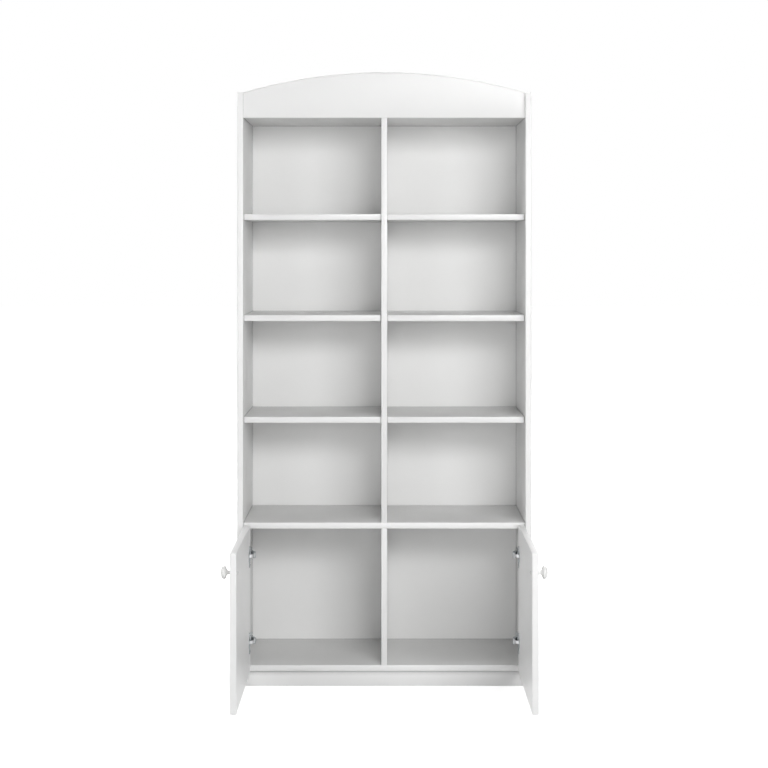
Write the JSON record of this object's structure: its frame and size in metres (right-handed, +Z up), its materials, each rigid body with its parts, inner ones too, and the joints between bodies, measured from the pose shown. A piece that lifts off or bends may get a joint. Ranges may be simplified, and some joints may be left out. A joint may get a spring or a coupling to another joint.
{
  "type": "bookcase with cabinet doors",
  "caption": "Tall bookcase of open bays with an arched pediment over a cabinet, with inset doors that swing on concealed hinges and have turned knobs.",
  "frame": {"origin": "on the floor, under the middle of the carcass", "axes": "+X along the width, +Y from the front towards the wall, +Z up"},
  "size_m": [0.914, 0.749, 1.886],
  "materials": {
    "board": "white melamine, satin",
    "door": "white foil, satin",
    "back": "white lacquered hardboard, matt",
    "knob": "white lacquer, semi-gloss",
    "hinge_steel": "nickel plated",
    "screw_steel": "zinc plated"
  },
  "bodies": {
    "carcass": {"side_panel_left": "board", "back_panel_left": "back", "side_panel_right": "board", "back_panel_right": "back", "top_panel": "board", "pediment": "board", "cabinet_top": "board", "bottom_panel": "board", "upper_divider": "board", "lower_divider": "board", "plinth": "board", "plinth_support": "board", "shelf_left_1": "board", "shelf_right_1": "board", "shelf_left_2": "board", "shelf_right_2": "board", "shelf_left_3": "board", "shelf_right_3": "board", "bottom_screw_left_front": "screw_steel", "bottom_screw_left_rear": "screw_steel", "cabinet_top_screw_left_front": "screw_steel", "cabinet_top_screw_left_rear": "screw_steel", "top_screw_left_front": "screw_steel", "top_screw_left_rear": "screw_steel", "bottom_screw_right_front": "screw_steel", "bottom_screw_right_rear": "screw_steel", "cabinet_top_screw_right_front": "screw_steel", "cabinet_top_screw_right_rear": "screw_steel", "top_screw_right_front": "screw_steel", "top_screw_right_rear": "screw_steel", "wall_bracket_left": "hinge_steel", "wall_bracket_right": "hinge_steel", "left_upper_hinge_arm": "hinge_steel", "left_upper_hinge_plate": "hinge_steel", "left_upper_hinge_arm_screw": "screw_steel", "left_lower_hinge_arm": "hinge_steel", "left_lower_hinge_plate": "hinge_steel", "left_lower_hinge_arm_screw": "screw_steel", "right_upper_hinge_arm": "hinge_steel", "right_upper_hinge_plate": "hinge_steel", "right_upper_hinge_arm_screw": "screw_steel", "right_lower_hinge_arm": "hinge_steel", "right_lower_hinge_plate": "hinge_steel", "right_lower_hinge_arm_screw": "screw_steel"},
    "door_left": {"door_left": "door", "knob_left": "knob", "knob_screw_left": "screw_steel", "left_upper_hinge_cup": "hinge_steel", "left_lower_hinge_cup": "hinge_steel"},
    "left_hinge_links": {"left_upper_hinge_link": "hinge_steel", "left_lower_hinge_link": "hinge_steel"},
    "door_right": {"door_right": "door", "knob_right": "knob", "knob_screw_right": "screw_steel", "right_upper_hinge_cup": "hinge_steel", "right_lower_hinge_cup": "hinge_steel"},
    "right_hinge_links": {"right_upper_hinge_link": "hinge_steel", "right_lower_hinge_link": "hinge_steel"}
  },
  "joints": [
    {"name": "door_left_swing", "type": "hinge", "parent": "carcass", "child": "door_left", "pos_m": [-0.426, -0.1615, 0.279], "axis": [0, 0, -1], "range_deg": [-90, 5]},
    {"name": "left_links_turn", "type": "hinge", "parent": "door_left", "child": "left_hinge_links", "pos_m": [-0.4125, -0.1695, 0.279], "axis": [0, 0, 1], "range_deg": [-147, 9]},
    {"name": "door_right_swing", "type": "hinge", "parent": "carcass", "child": "door_right", "pos_m": [0.426, -0.1615, 0.279], "axis": [0, 0, 1], "range_deg": [-90, 5]},
    {"name": "right_links_turn", "type": "hinge", "parent": "door_right", "child": "right_hinge_links", "pos_m": [0.4125, -0.1695, 0.279], "axis": [0, 0, -1], "range_deg": [-147, 9]}
  ],
  "couplings": [
    {"joint": "left_links_turn", "follows": "door_left_swing", "ratio": 1.6278},
    {"joint": "right_links_turn", "follows": "door_right_swing", "ratio": 1.6278}
  ]
}
